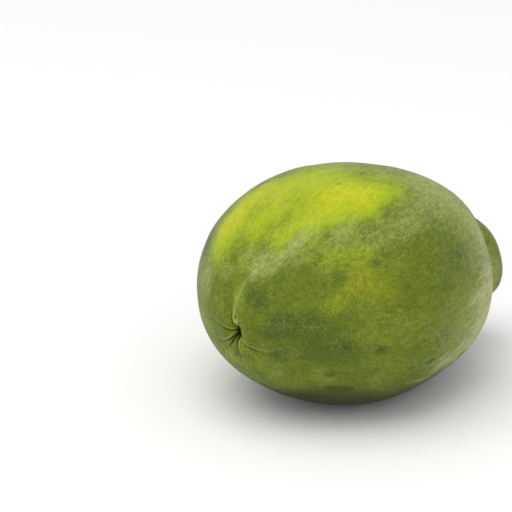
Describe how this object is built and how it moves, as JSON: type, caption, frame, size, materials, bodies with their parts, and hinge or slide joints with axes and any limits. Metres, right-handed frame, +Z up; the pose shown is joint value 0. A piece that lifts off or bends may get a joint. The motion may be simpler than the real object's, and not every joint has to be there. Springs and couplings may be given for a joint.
{
  "type": "papaya",
  "caption": "Whole green papaya lying on its side: a plump oval fruit with a short neck, an oval stem scar and a puckered blossom end.",
  "frame": {"origin": "on the surface that the fruit lies on, under the middle of its box", "axes": "+X from the puckered blossom end to the neck, +Z up"},
  "size_m": [0.178, 0.133, 0.1122],
  "materials": {
    "papaya_skin": "smooth waxy green skin, half ripe, with yellow patches, fine scuffs and a brown cork stem scar"
  },
  "bodies": {
    "root": {"papaya": "papaya_skin"}
  },
  "joints": []
}
